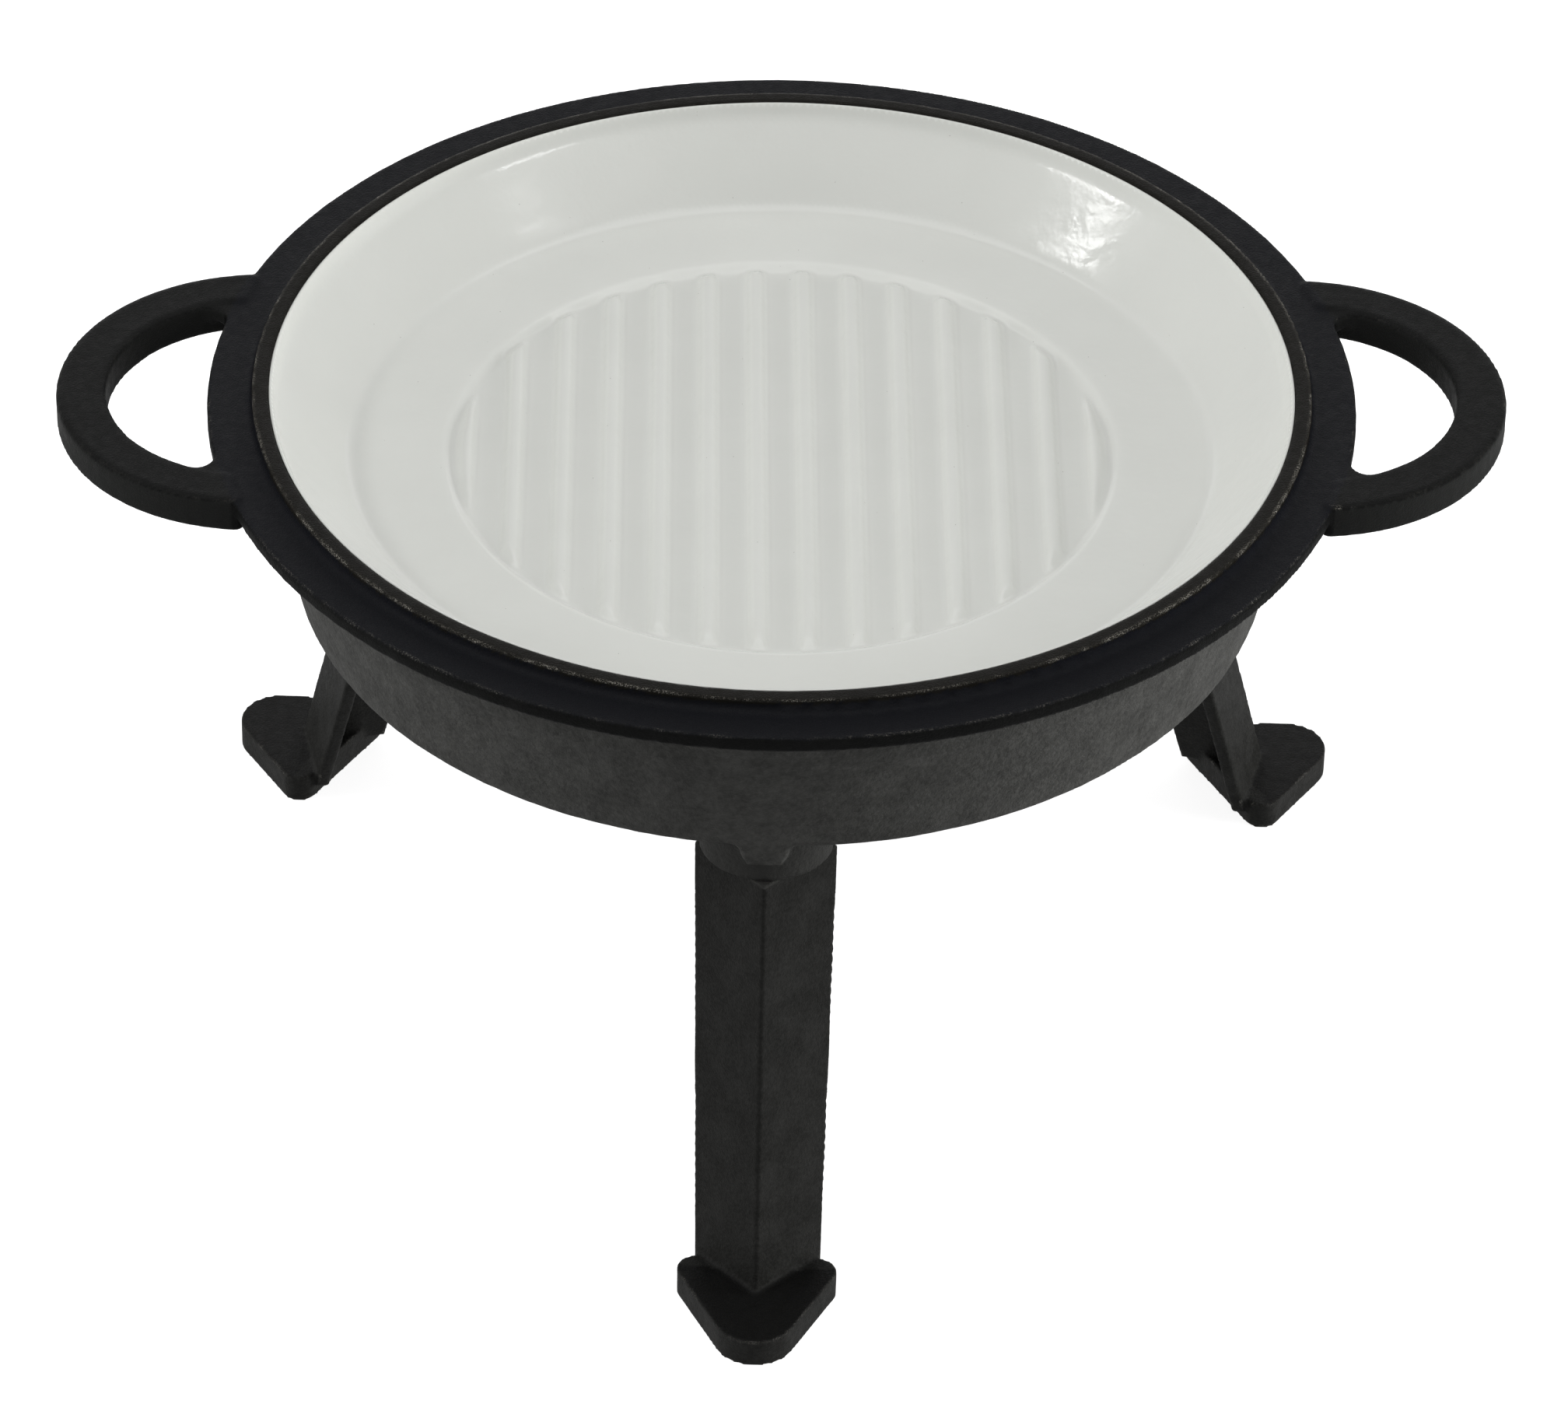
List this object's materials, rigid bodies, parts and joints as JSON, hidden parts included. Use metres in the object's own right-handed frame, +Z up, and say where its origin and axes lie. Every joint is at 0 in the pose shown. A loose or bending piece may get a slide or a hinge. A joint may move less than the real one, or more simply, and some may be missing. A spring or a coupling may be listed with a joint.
{
  "type": "campfire grill pan on legs",
  "caption": "Round cast-iron grill pan with a white enamelled ribbed dish and loop handles, resting on a deeper cast bowl on splayed screw-in legs with triangular feet.",
  "frame": {"origin": "on the pan's axis, on the ground under the feet", "axes": "+Z up, +X along the line of the two loop handles, -Y towards the front leg"},
  "size_m": [0.4182, 0.3596, 0.2065],
  "materials": {
    "smooth_iron": "satin black enamelled iron",
    "white_enamel": "glossy white vitreous enamel",
    "rough_iron": "rough black sand-cast iron",
    "leg_iron": "fine matt black cast iron",
    "steel": "plain steel"
  },
  "bodies": {
    "bowl": {"bowl": "rough_iron"},
    "pan": {"grill_pan": "smooth_iron", "pan_enamel": "white_enamel"},
    "washer_front": {"lock_washer_front": "steel"},
    "leg_front": {"leg_front": "leg_iron", "stud_front": "steel"},
    "washer_rear_left": {"lock_washer_rear_left": "steel"},
    "leg_rear_left": {"leg_rear_left": "leg_iron", "stud_rear_left": "steel"},
    "washer_rear_right": {"lock_washer_rear_right": "steel"},
    "leg_rear_right": {"leg_rear_right": "leg_iron", "stud_rear_right": "steel"}
  },
  "joints": [
    {"name": "pan_lift", "type": "slide", "parent": "bowl", "child": "pan", "axis": [0, 0, 1], "range_m": [0, 0.08]},
    {"name": "leg_drop_front", "type": "slide", "parent": "bowl", "child": "washer_front", "axis": [0, 0, -1], "range_m": [0, 0.011]},
    {"name": "leg_unscrew_front", "type": "hinge", "parent": "washer_front", "child": "leg_front", "pos_m": [0, -0.118, 0.1307], "axis": [0, 0, -1], "range_deg": [0, 2250]},
    {"name": "leg_drop_rear_left", "type": "slide", "parent": "bowl", "child": "washer_rear_left", "axis": [0, 0, -1], "range_m": [0, 0.011]},
    {"name": "leg_unscrew_rear_left", "type": "hinge", "parent": "washer_rear_left", "child": "leg_rear_left", "pos_m": [-0.10219, 0.059, 0.1307], "axis": [0, 0, -1], "range_deg": [0, 2250]},
    {"name": "leg_drop_rear_right", "type": "slide", "parent": "bowl", "child": "washer_rear_right", "axis": [0, 0, -1], "range_m": [0, 0.011]},
    {"name": "leg_unscrew_rear_right", "type": "hinge", "parent": "washer_rear_right", "child": "leg_rear_right", "pos_m": [0.10219, 0.059, 0.1307], "axis": [0, 0, -1], "range_deg": [0, 2250]}
  ],
  "couplings": [
    {"joint": "leg_drop_front", "follows": "leg_unscrew_front", "m_per_rad": 0.00027852},
    {"joint": "leg_drop_rear_left", "follows": "leg_unscrew_rear_left", "m_per_rad": 0.00027852},
    {"joint": "leg_drop_rear_right", "follows": "leg_unscrew_rear_right", "m_per_rad": 0.00027852}
  ]
}
